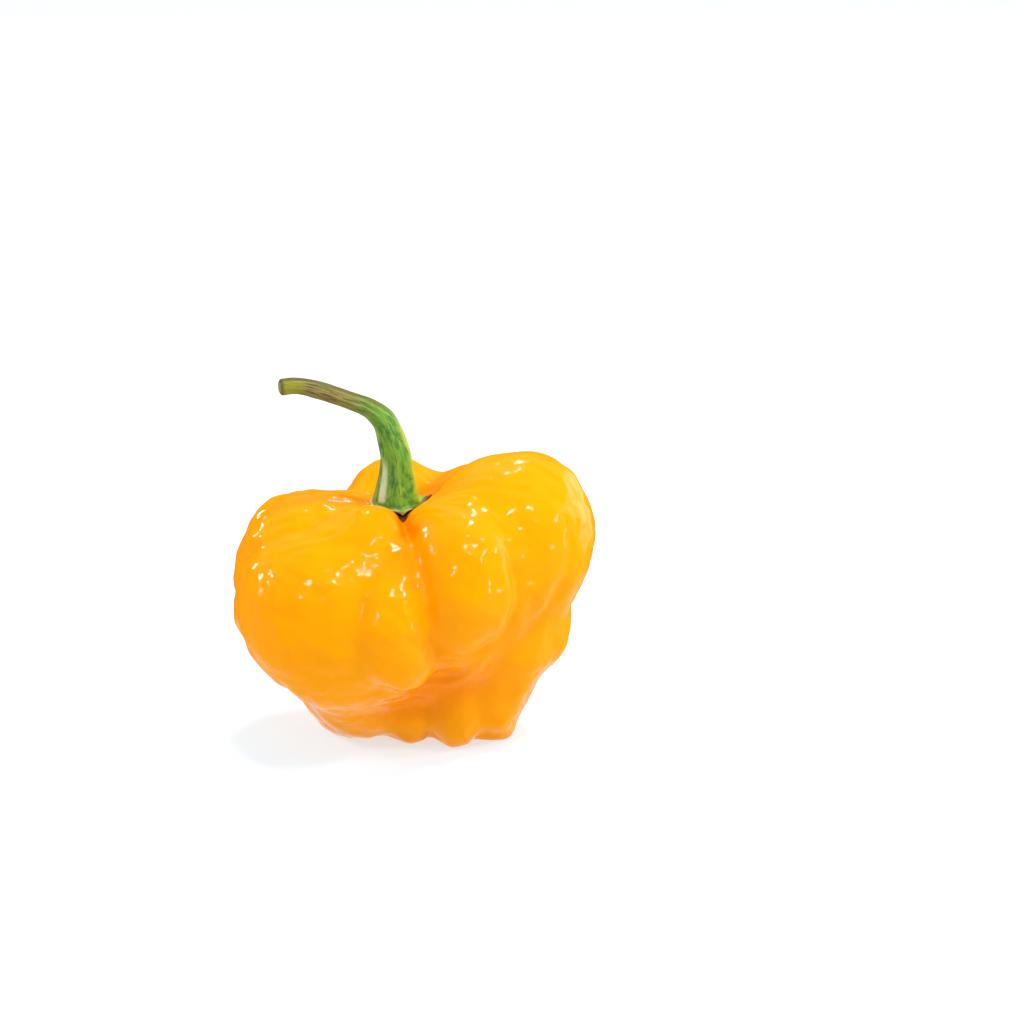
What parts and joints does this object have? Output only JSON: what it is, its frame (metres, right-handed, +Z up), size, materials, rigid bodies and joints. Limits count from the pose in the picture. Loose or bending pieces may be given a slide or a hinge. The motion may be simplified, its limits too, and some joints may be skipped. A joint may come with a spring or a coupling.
{
  "type": "scotch bonnet pepper",
  "caption": "Squat lobed chilli pepper with deep folds, a pouched blossom end it stands on, and a ridged stem that rises from a small calyx and bends over to one side.",
  "frame": {"origin": "on the surface the pepper stands on, under the middle of its bounding box", "axes": "+Z up, -Y towards the side the picture looks at, +X to the right in the picture"},
  "size_m": [0.0506, 0.0426, 0.0521],
  "materials": {
    "pod_skin": "waxy, glossy yellow-orange skin with fine wrinkles",
    "stem_green": "satin green, ridged lengthways, browner towards the cut end"
  },
  "bodies": {
    "root": {"pod": "pod_skin", "stem": "stem_green"}
  },
  "joints": []
}
